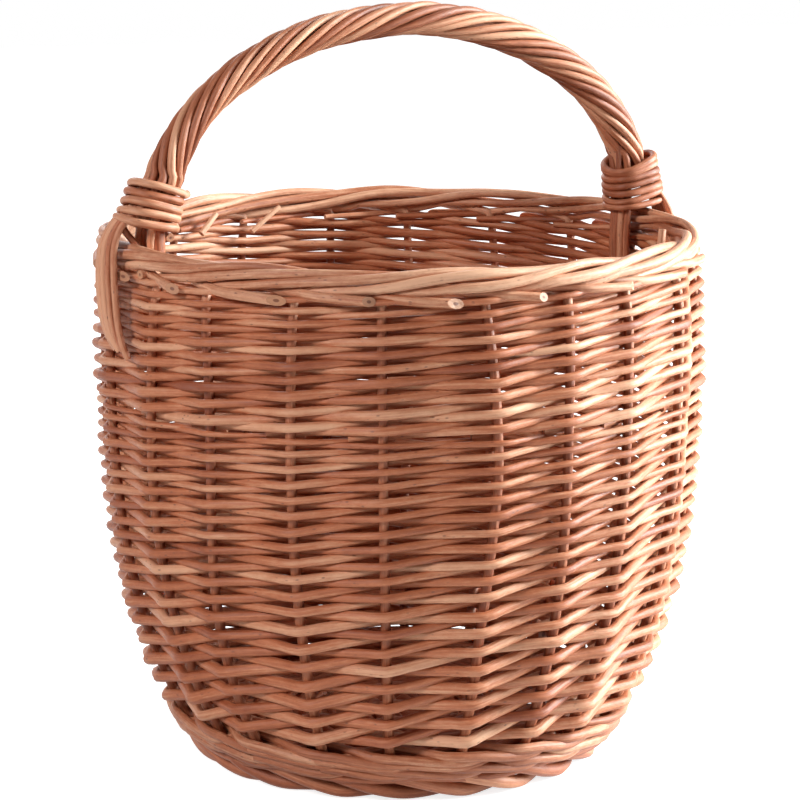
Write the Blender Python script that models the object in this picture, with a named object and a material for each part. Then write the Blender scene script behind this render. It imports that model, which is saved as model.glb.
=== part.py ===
"""Round willow foraging basket with a fixed twisted handle.

Twenty upright stakes are pushed into a woven base, pricked up, held by three
upsett rods, filled with twenty weavers that climb one row at every stake, and
turned down into a rolled border.  A bow rod wrapped by ten strands makes the
handle.  The origin is on the ground under the middle of the base, +Z is up and
the handle stands in the XZ plane.
"""
import math

import bmesh
import bpy
from mathutils import Matrix, Vector

COLLECTION_NAME = "foraging_basket"
CUTTER_COLLECTION_NAME = "basket_cutters"

# Fits between neighbouring rods
CLEARANCE = 0.0003
ROW_GAP = 0.0004

# Basket body, measured on the line of the stakes
BASKET_HEIGHT = 0.317
BASE_RADIUS = 0.1278
BELLY_RADIUS = 0.1749
RIM_RADIUS = 0.1713
BASE_HEIGHT = 0.0160
WALL_START_HEIGHT = 0.0205
BELLY_HEIGHT = 0.262
BELLY_CURVE_POWER = 3
RIM_CURVE_POWER = 2
WALL_POINT_SHARES = (0, 0.08, 0.18, 0.31, 0.48, 0.68, 0.86, 1)

# Stakes: one in every space of the wall
STAKE_COUNT = 20
STAKE_PHASE_DEGREES = 3.6
STAKE_BUTT_RADIUS = 0.0030
STAKE_TOP_RADIUS = 0.0026
STAKE_BUTT_DEPTH = 0.019
STAKE_BEND_LENGTH = 0.0068

# Rolled border: half stake spaces, then outward and upward shares of a rod
BORDER_PATH_SHARES = (
    (0, 0, -2.27),
    (1, 0.50, -1.84),
    (2, 1.00, -1.38),
    (4, 1.72, -0.35),
    (6, 1.37, 0.76),
    (8, 0.30, 1.30),
    (10, -0.82, 0.98),
    (12, -1.59, 0.17),
    (14, -1.29, -1.35),
    (15, -0.51, -2.36),
    (15.6, 0.45, -2.88),
)
BORDER_TIP_SHARE = 0.9

# Weavers: thick butts low down, thin tips at mid height, thick butts again
LOWER_BUTT_RADIUS = 0.0030
LOWER_MIDDLE_RADIUS = 0.0027
TIP_RADIUS = 0.0021
UPPER_BUTT_RADIUS = 0.0029
UPPER_TOP_RADIUS = 0.0026
TIP_BAND_HEIGHT = 0.192
UPPER_LAYER_HEIGHT = 0.216

# Upsett: rods that pass in front of two stakes and behind one
UPSETT_COUNT = 3
UPSETT_RADIUS = 0.0025
UPSETT_START = 0.0012
UPSETT_BEHIND_EVERY = 3

# Foot: two rods laid in and out under the stakes
FOOT_INSET = 0.0073
FOOT_ROD_RADIUS = 0.0031
FOOT_SWING = 0.0028

# Base: five sticks, opened out and woven with one doubled rod
BASE_STICK_RADIUS = 0.0030
BASE_STICK_INSET = 0.0178
BASE_STICK_BEND = 0.012
BASE_STICK_OPEN = 0.030
BASE_END_COUNT = 10
BASE_WEAVER_RADIUS = 0.0023
BASE_WEAVE_START = 0.025
BASE_WEAVE_PITCH = 0.0068
BASE_WEAVE_EDGE = 0.0012
BASE_FLAT_DEGREES = 12.5
BASE_LOOP_DEGREES = 15

# Handle bow and its strands
HANDLE_HALF_SPAN = 0.160
HANDLE_CENTRE_HEIGHT = 0.325
HANDLE_APEX_HEIGHT = 0.437
ARCH_SAMPLES = 400
BOW_RADIUS = 0.0048
BOW_FOOT_HEIGHT = 0.235
BOW_POINTS = 20
STRAND_COUNT = 10
STRAND_RADIUS = 0.0019
STRAND_RING_RADIUS = 0.00825
STRAND_TURNS = 3.5
STRAND_POINTS_PER_TURN = 6.5
STRAND_INNER_END_HEIGHT = 0.262
STRAND_OUTER_END_HEIGHT = 0.252
STRAND_SIDE_GAP = 0.0009

# Wraps that bind the handle's feet above the border
WRAP_TURNS = 5
WRAP_ROD_RADIUS = 0.0022
WRAP_FLARE_SHARE = 0.62
WRAP_ROW_INSET = 0.0018
WRAP_FLAT_SHARE = 1.25
WRAP_CORNER_SHARE = 0.9

# Colours of peeled buff willow
STAKE_COLOUR = (0.62, 0.33, 0.17, 1)
WEAVER_COLOUR = (0.68, 0.38, 0.21, 1)
UPSETT_COLOUR = (0.60, 0.32, 0.17, 1)
BASE_COLOUR = (0.56, 0.30, 0.16, 1)
HANDLE_COLOUR = (0.66, 0.36, 0.20, 1)
WRAP_COLOUR = (0.72, 0.42, 0.25, 1)
WILLOW_ROUGHNESS = 0.55

STAKE_STEP = 2 * math.pi / STAKE_COUNT
BASE_END_STEP = 2 * math.pi / BASE_END_COUNT
STRAND_STEP = 2 * math.pi / STRAND_COUNT
FOOT_RADIUS = BASE_RADIUS - FOOT_INSET
BASE_STICK_REACH = BASE_RADIUS - BASE_STICK_INSET
STAKE_PHASE = math.radians(STAKE_PHASE_DEGREES)
BORDER_ROD = 2 * STAKE_TOP_RADIUS
BORDER_HEIGHT = BASKET_HEIGHT - STAKE_TOP_RADIUS - max(up for _, _, up in BORDER_PATH_SHARES) * BORDER_ROD
WALL_TOP_HEIGHT = BORDER_HEIGHT + BORDER_PATH_SHARES[0][2] * BORDER_ROD
BORDER_OUTER = RIM_RADIUS + STAKE_TOP_RADIUS + max(out for _, out, _ in BORDER_PATH_SHARES) * BORDER_ROD
BORDER_INNER = RIM_RADIUS - STAKE_TOP_RADIUS + min(out for _, out, _ in BORDER_PATH_SHARES) * BORDER_ROD
LEG_RADIUS = BORDER_INNER - CLEARANCE - BOW_RADIUS
WRAP_PITCH = 2 * WRAP_ROD_RADIUS + 2 * CLEARANCE
WRAP_BOTTOM_HEIGHT = BASKET_HEIGHT + WRAP_ROD_RADIUS + CLEARANCE
WRAP_TOP_HEIGHT = WRAP_BOTTOM_HEIGHT + WRAP_TURNS * WRAP_PITCH
HANDLE_RISE = HANDLE_APEX_HEIGHT - HANDLE_CENTRE_HEIGHT
ARCH_START_ANGLE = math.asin((WRAP_TOP_HEIGHT - HANDLE_CENTRE_HEIGHT) / HANDLE_RISE)


def mix(first, last, share):
    """Value a share of the way from first to last."""
    return first + (last - first) * share


def polar(radius, angle, height):
    """Point at a radius and an angle round the basket's axis."""
    return Vector((radius * math.cos(angle), radius * math.sin(angle), height))


def clear_scene():
    for old in list(bpy.data.objects):
        bpy.data.objects.remove(old, do_unlink=True)


def make_collection(name):
    collection = bpy.data.collections.get(name) or bpy.data.collections.new(name)
    if collection.name not in bpy.context.scene.collection.children:
        bpy.context.scene.collection.children.link(collection)
    return collection


def make_material(name, colour):
    material = bpy.data.materials.new(name)
    material.use_nodes = True
    shader = material.node_tree.nodes["Principled BSDF"]
    shader.inputs["Base Color"].default_value = colour
    shader.inputs["Roughness"].default_value = WILLOW_ROUGHNESS
    shader.inputs["Metallic"].default_value = 0
    material.diffuse_color = colour
    return material


def make_rod_curve(name, points, radii, material, round_steps=0, closed=False, tilt=0):
    """A willow rod: a poly spline with a round section and filled ends."""
    curve = bpy.data.curves.new(name, "CURVE")
    curve.dimensions = "3D"
    curve.resolution_u = 1
    curve.bevel_depth = max(radii)
    curve.bevel_resolution = round_steps
    curve.use_fill_caps = True
    spline = curve.splines.new("POLY")
    spline.points.add(len(points) - 1)
    spline.use_cyclic_u = closed
    for spline_point, place, radius in zip(spline.points, points, radii):
        spline_point.co = (*place, 1)
        spline_point.radius = radius / curve.bevel_depth
        spline_point.tilt = tilt
    curve.materials.append(material)
    return curve


def add_rod(name, curve, collection, angle=0):
    rod = bpy.data.objects.new(name, curve)
    rod.rotation_euler.z = angle
    collection.objects.link(rod)
    return rod


def wall_radius(height):
    """Radius of the stake line: a rounded belly, drawn in a little at the rim."""
    if height < BELLY_HEIGHT:
        below = (BELLY_HEIGHT - height) / (BELLY_HEIGHT - WALL_START_HEIGHT)
        return BELLY_RADIUS - (BELLY_RADIUS - BASE_RADIUS) * below ** BELLY_CURVE_POWER
    above = (height - BELLY_HEIGHT) / (WALL_TOP_HEIGHT - BELLY_HEIGHT)
    return BELLY_RADIUS - (BELLY_RADIUS - RIM_RADIUS) * above ** RIM_CURVE_POWER


def wall_line():
    """Corners of the stake line in the wall, as (radius, height)."""
    heights = [mix(WALL_START_HEIGHT, WALL_TOP_HEIGHT, share) for share in WALL_POINT_SHARES]
    return [Vector((wall_radius(height), height)) for height in heights]


WALL_LINE = wall_line()


def wall_distance(height):
    """Length of stake from the foot of the wall up to a height."""
    travelled = 0
    for low, high in zip(WALL_LINE, WALL_LINE[1:]):
        if height <= high.y:
            return travelled + (high - low).length * (height - low.y) / (high.y - low.y)
        travelled += (high - low).length
    return travelled


def wall_corner_normals():
    normals = []
    for index in range(len(WALL_LINE)):
        low = WALL_LINE[max(index - 1, 0)]
        high = WALL_LINE[min(index + 1, len(WALL_LINE) - 1)]
        along = (high - low).normalized()
        normals.append(Vector((along.y, -along.x)))
    return normals


WALL_NORMALS = wall_corner_normals()


def wall_place(distance, outward):
    """Radius and height beside the stake line, a distance up it and outward from it."""
    travelled = 0
    for index in range(len(WALL_LINE) - 1):
        low, high = WALL_LINE[index], WALL_LINE[index + 1]
        length = (high - low).length
        if distance <= travelled + length or index == len(WALL_LINE) - 2:
            share = (distance - travelled) / length
            normal = WALL_NORMALS[index].lerp(WALL_NORMALS[index + 1], share).normalized()
            return low.lerp(high, share) + normal * outward
        travelled += length


def stake_radius(height):
    """A stake is thickest at its butt and tapers to the border."""
    share = (height - BASE_HEIGHT) / (WALL_TOP_HEIGHT - BASE_HEIGHT)
    return mix(STAKE_BUTT_RADIUS, STAKE_TOP_RADIUS, min(max(share, 0), 1))


def stake_path():
    """Butt in the base, bend, wall, then once round the border to a cut tail."""
    bend_radius = BASE_RADIUS - STAKE_BEND_LENGTH
    points = [
        polar(bend_radius - STAKE_BUTT_DEPTH, 0, BASE_HEIGHT),
        polar(bend_radius, 0, BASE_HEIGHT),
    ]
    points += [polar(corner.x, 0, corner.y) for corner in WALL_LINE[:-1]]
    radii = [stake_radius(point.z) for point in points]
    tail_share = BORDER_PATH_SHARES[-1][0]
    for half_spaces, out, up in BORDER_PATH_SHARES:
        angle = half_spaces * STAKE_STEP / 2
        points.append(polar(RIM_RADIUS + out * BORDER_ROD, angle, BORDER_HEIGHT + up * BORDER_ROD))
        radii.append(STAKE_TOP_RADIUS * mix(1, BORDER_TIP_SHARE, half_spaces / tail_share))
    return points, radii


def add_stakes(collection):
    material = make_material("stake_willow", STAKE_COLOUR)
    points, radii = stake_path()
    curve = make_rod_curve("stake", points, radii, material)
    for index in range(STAKE_COUNT):
        angle = STAKE_PHASE + index * STAKE_STEP
        add_rod(f"stake_{index + 1:02d}", curve, collection, angle)


def upsett_rows():
    """Distances up the stake line of the upsett rods."""
    pitch = 2 * UPSETT_RADIUS + ROW_GAP
    return [UPSETT_START + row * pitch for row in range(UPSETT_COUNT)]


def side_offset(distance, rod_radius):
    """How far a rod's middle stands off the stake line when it passes a stake."""
    return stake_radius(wall_place(distance, 0).y) + rod_radius + CLEARANCE


def add_upsett(collection):
    """Three rods that start at neighbouring stakes and hold the stakes upright."""
    material = make_material("upsett_willow", UPSETT_COLOUR)
    for row, distance in enumerate(upsett_rows()):
        outward = side_offset(distance, UPSETT_RADIUS)
        points = []
        for step in range(STAKE_COUNT):
            behind = step % UPSETT_BEHIND_EVERY == UPSETT_BEHIND_EVERY - 1
            place = wall_place(distance, -outward if behind else outward)
            points.append(polar(place.x, step * STAKE_STEP, place.y))
        radii = [UPSETT_RADIUS] * len(points)
        curve = make_rod_curve(f"upsett_rod_{row + 1:02d}", points, radii, material)
        add_rod(f"upsett_rod_{row + 1:02d}", curve, collection, STAKE_PHASE + row * STAKE_STEP)


def weaver_rows():
    """Distance up the stake line and rod radius at each row of the filling."""
    layers = (
        (LOWER_BUTT_RADIUS, LOWER_MIDDLE_RADIUS, wall_distance(TIP_BAND_HEIGHT)),
        (LOWER_MIDDLE_RADIUS, TIP_RADIUS, wall_distance(UPPER_LAYER_HEIGHT)),
        (UPPER_BUTT_RADIUS, UPPER_TOP_RADIUS, wall_distance(WALL_TOP_HEIGHT)),
    )
    tail_low = BORDER_HEIGHT + min(up for _, _, up in BORDER_PATH_SHARES) * BORDER_ROD - STAKE_TOP_RADIUS
    highest = wall_distance(tail_low) - ROW_GAP
    below = upsett_rows()[-1]
    below_radius = UPSETT_RADIUS
    rows = []
    for first_radius, last_radius, layer_top in layers:
        layer_start = below
        while True:
            share = min((below - layer_start) / (layer_top - layer_start), 1)
            radius = mix(first_radius, last_radius, share)
            distance = below + below_radius + radius + ROW_GAP
            if distance > layer_top or distance + radius > highest:
                break
            rows.append((distance, radius))
            below, below_radius = distance, radius
    return rows


def weaver_path():
    """In front of one stake, behind the next, one row higher at every stake."""
    points = []
    radii = []
    for step, (distance, radius) in enumerate(weaver_rows()):
        outward = side_offset(distance, radius)
        place = wall_place(distance, outward if step % 2 else -outward)
        points.append(polar(place.x, step * STAKE_STEP, place.y))
        radii.append(radius)
    return points, radii


def add_weavers(collection):
    material = make_material("weaver_willow", WEAVER_COLOUR)
    points, radii = weaver_path()
    curve = make_rod_curve("weaver", points, radii, material)
    for index in range(STAKE_COUNT):
        angle = STAKE_PHASE + index * STAKE_STEP
        add_rod(f"weaver_{index + 1:02d}", curve, collection, angle)


def add_foot(collection):
    """Two closed rods under the stakes: the lower one stands flat on the ground."""
    material = make_material("foot_willow", UPSETT_COLOUR)
    flat_rod_radius = FOOT_ROD_RADIUS / math.cos(math.pi / 6)
    levels = (FOOT_ROD_RADIUS, FOOT_ROD_RADIUS * 3 + CLEARANCE)
    for row, (name, height) in enumerate(zip(("foot_rod_lower", "foot_rod_upper"), levels)):
        points = []
        for step in range(STAKE_COUNT):
            swing = FOOT_SWING if (step + row) % 2 else -FOOT_SWING
            points.append(polar(FOOT_RADIUS + swing, step * STAKE_STEP, height))
        radii = [flat_rod_radius] * len(points)
        curve = make_rod_curve(name, points, radii, material, round_steps=1, closed=True)
        curve.twist_mode = "Z_UP"
        add_rod(name, curve, collection, STAKE_PHASE)


def base_stick_points(side, offset, spread):
    """A base stick from end to end: side by side in the middle, opened out at both ends."""
    points = []
    for along in (-1, 1):
        ring = [
            Vector((BASE_STICK_REACH * math.cos(spread), BASE_STICK_REACH * math.sin(spread))),
            Vector((BASE_STICK_OPEN * math.cos(spread), BASE_STICK_OPEN * math.sin(spread))),
            Vector((BASE_STICK_BEND, offset)),
        ]
        if along > 0:
            ring.reverse()
        points += [Vector((place.x * along, place.y)) for place in ring]
    turned = Matrix.Rotation(side, 2)
    return [(turned @ place).to_3d() for place in points]


def solid_from_curve(name, curve, collection, height):
    """Mesh of a rod with welded caps, ready for a Boolean."""
    rod = add_rod(name + "_curve", curve, collection)
    rod.location.z = height
    bpy.context.view_layer.update()
    evaluated = rod.evaluated_get(bpy.context.evaluated_depsgraph_get())
    mesh = bpy.data.meshes.new_from_object(evaluated)
    welded = bmesh.new()
    welded.from_mesh(mesh)
    bmesh.ops.remove_doubles(welded, verts=welded.verts, dist=CLEARANCE / 10)
    welded.to_mesh(mesh)
    welded.free()
    solid = bpy.data.objects.new(name, mesh)
    solid.matrix_world = rod.matrix_world.copy()
    bpy.data.objects.remove(rod, do_unlink=True)
    collection.objects.link(solid)
    return solid


def add_base_sticks(collection, cutters):
    """Two sticks threaded through three, opened out to ten evenly spaced ends."""
    material = make_material("base_stick_willow", BASE_COLOUR)
    stick_gap = 2 * BASE_STICK_RADIUS + CLEARANCE
    half_gap = stick_gap / 2
    half_step = BASE_END_STEP / 2
    quarter = math.pi / 2
    layout = [(0, -stick_gap, -BASE_END_STEP), (0, 0, 0), (0, stick_gap, BASE_END_STEP)]
    layout += [(quarter, -half_gap, -half_step), (quarter, half_gap, half_step)]
    first = None
    for index, (side, offset, spread) in enumerate(layout):
        points = base_stick_points(side, offset, spread)
        radii = [BASE_STICK_RADIUS] * len(points)
        curve = make_rod_curve(f"base_stick_{index}", points, radii, material)
        if first is None:
            first = solid_from_curve("base_sticks", curve, collection, BASE_HEIGHT)
            continue
        other = solid_from_curve(f"base_stick_join_{index}", curve, cutters, BASE_HEIGHT)
        other.hide_render = True
        other.display_type = "WIRE"
        other.rotation_euler.z = base_phase()
        join = first.modifiers.new(f"join_{index}", "BOOLEAN")
        join.operation = "UNION"
        join.solver = "EXACT"
        join.object = other
    first.rotation_euler.z = base_phase()


def base_phase():
    """The base sticks end midway between pairs of stakes."""
    return STAKE_PHASE + STAKE_STEP / 2


def base_spiral(start_radius, first_side):
    """One half of the doubled base weaver, from the middle out to the edge."""
    outward = BASE_STICK_RADIUS + BASE_WEAVER_RADIUS + CLEARANCE
    stake_inner = BASE_RADIUS - STAKE_BEND_LENGTH - STAKE_BUTT_DEPTH
    growth = 2 * BASE_WEAVE_PITCH / BASE_END_COUNT
    flat = math.radians(BASE_FLAT_DEGREES)
    points = []
    step = 0
    while start_radius + step * growth < BASE_STICK_REACH - BASE_WEAVER_RADIUS - BASE_WEAVE_EDGE:
        radius = start_radius + step * growth
        side = first_side if step % 2 == 0 else -first_side
        angle = step * BASE_END_STEP
        height = BASE_HEIGHT + side * outward
        if radius < stake_inner - 2 * BASE_WEAVER_RADIUS:
            points.append(polar(radius, angle, height))
        else:
            points.append(polar(radius, angle - flat, height))
            points.append(polar(radius, angle + flat, height))
        step += 1
    return points


def add_base_weaver(collection):
    """One long rod doubled round a stick, its halves chasing each other outward."""
    material = make_material("base_weaver_willow", BASE_COLOUR)
    first = base_spiral(BASE_WEAVE_START, 1)
    second = base_spiral(BASE_WEAVE_START + BASE_WEAVE_PITCH, -1)
    loop_radius = BASE_WEAVE_START + BASE_WEAVE_PITCH / 2
    loop = polar(loop_radius, -math.radians(BASE_LOOP_DEGREES), BASE_HEIGHT)
    points = second[::-1] + [loop] + first
    radii = [BASE_WEAVER_RADIUS] * len(points)
    curve = make_rod_curve("base_weaver", points, radii, material)
    add_rod("base_weaver", curve, collection, base_phase())


def arch_place(angle):
    """Point of the handle's centre line, on a half ellipse."""
    height = HANDLE_CENTRE_HEIGHT + HANDLE_RISE * math.sin(angle)
    return Vector((HANDLE_HALF_SPAN * math.cos(angle), 0, height))


def arch_samples():
    """Samples of the arch between the wraps: (length so far, angle)."""
    samples = []
    travelled = 0
    last = arch_place(math.pi - ARCH_START_ANGLE)
    for index in range(ARCH_SAMPLES + 1):
        angle = mix(math.pi - ARCH_START_ANGLE, ARCH_START_ANGLE, index / ARCH_SAMPLES)
        place = arch_place(angle)
        travelled += (place - last).length
        samples.append((travelled, angle))
        last = place
    return samples


ARCH = arch_samples()
ARCH_LENGTH = ARCH[-1][0]


def arch_frame(share):
    """Place on the arch a share of the way along it, and the direction away from the hand."""
    travelled = ARCH_LENGTH * share
    angle = ARCH[-1][1]
    for (low, low_angle), (high, high_angle) in zip(ARCH, ARCH[1:]):
        if travelled <= high:
            angle = mix(low_angle, high_angle, (travelled - low) / (high - low))
            break
    outward = Vector((HANDLE_RISE * math.cos(angle), 0, HANDLE_HALF_SPAN * math.sin(angle))).normalized()
    return arch_place(angle), outward


def leg_radius(height):
    """Radius of the handle's centre line below the arch: it leans in past the border."""
    share = (WRAP_TOP_HEIGHT - height) / (WRAP_TOP_HEIGHT - WRAP_BOTTOM_HEIGHT)
    return mix(arch_place(ARCH_START_ANGLE).x, LEG_RADIUS, min(max(share, 0), 1))


def add_bow(collection):
    """The core of the handle, pushed down inside the wall at both feet."""
    material = make_material("bow_willow", HANDLE_COLOUR)
    leg = [Vector((LEG_RADIUS, 0, height)) for height in (WRAP_BOTTOM_HEIGHT, BOW_FOOT_HEIGHT)]
    points = [Vector((-place.x, place.y, place.z)) for place in reversed(leg)]
    points += [arch_frame(index / BOW_POINTS)[0] for index in range(BOW_POINTS + 1)]
    points += leg
    radii = [BOW_RADIUS] * len(points)
    curve = make_rod_curve("handle_bow", points, radii, material)
    add_rod("handle_bow", curve, collection)


def strand_flare(height):
    """How far the outer strands of a foot have splayed out, and what is left of their ring."""
    share = min(max((WRAP_TOP_HEIGHT - height) / (WRAP_TOP_HEIGHT - WRAP_BOTTOM_HEIGHT), 0), 1)
    reach = BORDER_OUTER - WRAP_ROW_INSET - LEG_RADIUS
    return reach * share ** WRAP_FLARE_SHARE, 1 - share


def foot_tail(turn, foot_side):
    """Points of a strand below its last twist, from the wrap down."""
    out = math.cos(turn)
    side = math.sin(turn)
    points = []
    if out < 0:
        for height in (WRAP_BOTTOM_HEIGHT, STRAND_INNER_END_HEIGHT):
            radius = LEG_RADIUS + STRAND_RING_RADIUS * out
            points.append(Vector((foot_side * radius, -STRAND_RING_RADIUS * side, height)))
        return points
    place_in_row = round(turn / STRAND_STEP)
    row_side = place_in_row * (2 * STRAND_RADIUS + STRAND_SIDE_GAP)
    for height in (mix(WRAP_TOP_HEIGHT, WRAP_BOTTOM_HEIGHT, 1 / 2), WRAP_BOTTOM_HEIGHT):
        shift, ring_share = strand_flare(height)
        radius = leg_radius(height) + shift + STRAND_RING_RADIUS * out * ring_share
        sideways = mix(row_side, STRAND_RING_RADIUS * side, ring_share)
        points.append(Vector((foot_side * radius, -sideways, height)))
    over_border = BORDER_OUTER + STRAND_RADIUS + 2 * CLEARANCE
    under_border = BORDER_HEIGHT - BORDER_ROD * 2
    beside_wall = BELLY_RADIUS + STAKE_TOP_RADIUS + 2 * UPPER_BUTT_RADIUS + 3 * CLEARANCE + STRAND_RADIUS
    for radius, height in (
        (over_border, BORDER_HEIGHT),
        (beside_wall, under_border),
        (beside_wall, STRAND_OUTER_END_HEIGHT),
    ):
        points.append(Vector((foot_side * radius, -row_side, height)))
    return points


def add_strands(collection):
    """Ten strands twisted round the bow: at each foot half pass outside, half inside."""
    material = make_material("strand_willow", HANDLE_COLOUR)
    segments = round(STRAND_TURNS * STRAND_POINTS_PER_TURN)
    sideways = Vector((0, -1, 0))
    for index in range(STRAND_COUNT):
        first_turn = math.remainder(STRAND_STEP * index, 2 * math.pi)
        last_turn = math.remainder(first_turn - 2 * math.pi * STRAND_TURNS, 2 * math.pi)
        points = foot_tail(first_turn, -1)[::-1]
        for step in range(segments + 1):
            share = step / segments
            turn = first_turn - 2 * math.pi * STRAND_TURNS * share
            place, outward = arch_frame(share)
            ring = outward * math.cos(turn) + sideways * math.sin(turn)
            points.append(place + ring * STRAND_RING_RADIUS)
        points += foot_tail(last_turn, 1)
        radii = [STRAND_RADIUS] * len(points)
        name = f"handle_strand_{index + 1:02d}"
        curve = make_rod_curve(name, points, radii, material)
        add_rod(name, curve, collection)


def wrap_path():
    """Turns of one rod round the handle's foot: round at the top, lower down a flat loop round the splayed row."""
    round_corner = math.cos(math.pi / 4)
    wide = (STRAND_RING_RADIUS + STRAND_RADIUS + WRAP_ROD_RADIUS + 2 * CLEARANCE) / math.cos(math.pi / 8)
    flat = (STRAND_RADIUS + WRAP_ROD_RADIUS + 2 * CLEARANCE) * WRAP_FLAT_SHARE
    corners = (
        (-1, 0, 0), (-1, 1, 0), (0, 1, 0), (0, 1, 1), (1, 1, 1),
        (1, 0, 1), (1, -1, 1), (0, -1, 1), (0, -1, 0), (-1, -1, 0),
    )
    points = []
    for step in range(WRAP_TURNS * len(corners) + 1):
        out, side, outer = corners[step % len(corners)]
        height = WRAP_TOP_HEIGHT - WRAP_PITCH * step / len(corners)
        shift, ring_share = strand_flare(height)
        deep = wide
        corner = round_corner
        if outer:
            deep = mix(flat, wide, ring_share)
            corner = mix(WRAP_CORNER_SHARE, round_corner, ring_share)
        reach = corner if out and side else 1
        radius = leg_radius(height) + shift * outer + deep * out * reach
        points.append(Vector((radius, wide * side * reach, height)))
    return points


def add_wraps(collection):
    material = make_material("wrap_willow", WRAP_COLOUR)
    points = wrap_path()
    radii = [WRAP_ROD_RADIUS] * len(points)
    curve = make_rod_curve("handle_wrap", points, radii, material)
    add_rod("handle_wrap_right", curve, collection)
    add_rod("handle_wrap_left", curve, collection, math.pi)


def build():
    clear_scene()
    collection = make_collection(COLLECTION_NAME)
    cutters = make_collection(CUTTER_COLLECTION_NAME)
    add_base_sticks(collection, cutters)
    add_base_weaver(collection)
    add_foot(collection)
    add_stakes(collection)
    add_upsett(collection)
    add_weavers(collection)
    add_bow(collection)
    add_strands(collection)
    add_wraps(collection)


build()
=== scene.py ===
"""Looks of the willow foraging basket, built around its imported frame.

Every rod is a tapered tube with its own thickness, colour and grain.  Angles
run round the basket's axis, distances up the wall start at the foot of the
stakes, and all lengths are metres.  A rod's line is a list of
(x, y, z, radius) rows, and its tone goes from 0, dark, to 1, pale.
"""
import math
import random

import bpy
import numpy as np
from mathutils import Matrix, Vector


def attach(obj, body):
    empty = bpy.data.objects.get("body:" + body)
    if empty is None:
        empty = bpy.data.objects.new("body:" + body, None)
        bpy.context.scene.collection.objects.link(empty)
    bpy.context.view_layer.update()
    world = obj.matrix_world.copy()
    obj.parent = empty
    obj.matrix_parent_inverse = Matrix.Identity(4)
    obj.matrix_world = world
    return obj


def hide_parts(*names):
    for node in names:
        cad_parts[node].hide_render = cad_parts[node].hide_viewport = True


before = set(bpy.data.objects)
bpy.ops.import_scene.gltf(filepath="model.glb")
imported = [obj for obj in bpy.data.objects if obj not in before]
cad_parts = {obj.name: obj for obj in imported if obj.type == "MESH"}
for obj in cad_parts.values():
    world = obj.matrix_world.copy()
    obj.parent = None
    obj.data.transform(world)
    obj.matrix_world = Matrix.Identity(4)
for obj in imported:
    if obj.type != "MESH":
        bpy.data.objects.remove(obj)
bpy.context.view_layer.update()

RNG = random.Random(11)

# Camera of the photograph
CAMERA_ANGLE = math.radians(241)
CAMERA_DISTANCE = 1.66
CAMERA_Z = 0.5139
CAMERA_PITCH = math.radians(10.38)
FOCAL_PIXELS = 2820.0
SHIFT_PIXELS = 1.5
PICTURE = 800


def lerp(a, b, t):
    return a + (b - a) * t


def limit(value, low, high):
    return min(max(value, low), high)


def curve(x, points):
    """The value at x on straight lines through (x, value) points."""
    return float(np.interp(x, *zip(*points)))


def polar(radius, angle, z):
    return (radius * math.cos(angle), radius * math.sin(angle), z)


def from_camera(right, towards, z):
    """A place to the right of the axis as the camera sees it, and towards the camera."""
    view = np.array((math.cos(CAMERA_ANGLE), math.sin(CAMERA_ANGLE)))
    side = np.array((-view[1], view[0]))
    x, y = side * right + view * towards
    return (x, y, z)


def any_phase():
    """A random start for a wave, in radians."""
    return RNG.uniform(0, 6)


# Materials.  Noises: scale across, across and along the rod, detail, roughness
STREAK = ((700, 700, 26), 4, 0.6)
BLOTCH = ((110, 110, 22), 3, 0.55)
PATCH = ((14, 14, 7), 2, 0.5)
MOTTLE = ((420, 420, 170), 5, 0.7)
SPOT_AREAS = ((60, 60, 30), 1, 0.5)
# How far each noise moves the tone, and how high it stands next to the streaks
STREAK_TONE = 1.10
BLOTCH_TONE = 0.75
MOTTLE_TONE = 0.60
PATCH_TONE = 0.55
BLOTCH_HEIGHT = 1.2
MOTTLE_HEIGHT = 0.8
RELIEF = 0.6
RELIEF_DEPTH = 0.0007
STREAK_ROUGHNESS = 0.22
SHINE = 0.38
# Dark specks and cut ends
SPOT_SCALE = (420, 420, 190)
SPOT_CELLS = 0.8
SPOT_SIZES = (0.20, 0.08)
SPOT_AREA_RANGE = (0.46, 0.60)
SPOT_STRENGTH = 0.75
SPOT_COLOUR = (0.16, 0.055, 0.03, 1)
PITH_RANGE = (0.62, 0.74)
PITH_COLOUR = (0.24, 0.10, 0.055, 1)
CUT_COLOUR = (0.62, 0.35, 0.21, 1)
CUT_GRAIN = 0.5


def node(tree, kind, **settings):
    made = tree.nodes.new(kind)
    for key, value in settings.items():
        setattr(made, key, value)
    return made


def plug(tree, value, socket):
    """Link an output to a socket, or set the socket to a plain value."""
    if isinstance(value, bpy.types.NodeSocket):
        tree.links.new(value, socket)
    else:
        socket.default_value = value


def map_range(tree, value, from_range, to_range=(0.0, 1.0)):
    made = node(tree, "ShaderNodeMapRange")
    names = ("From Min", "From Max", "To Min", "To Max")
    for name, number in zip(names, (*from_range, *to_range)):
        made.inputs[name].default_value = number
    tree.links.new(value, made.inputs["Value"])
    return made.outputs[0]


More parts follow.
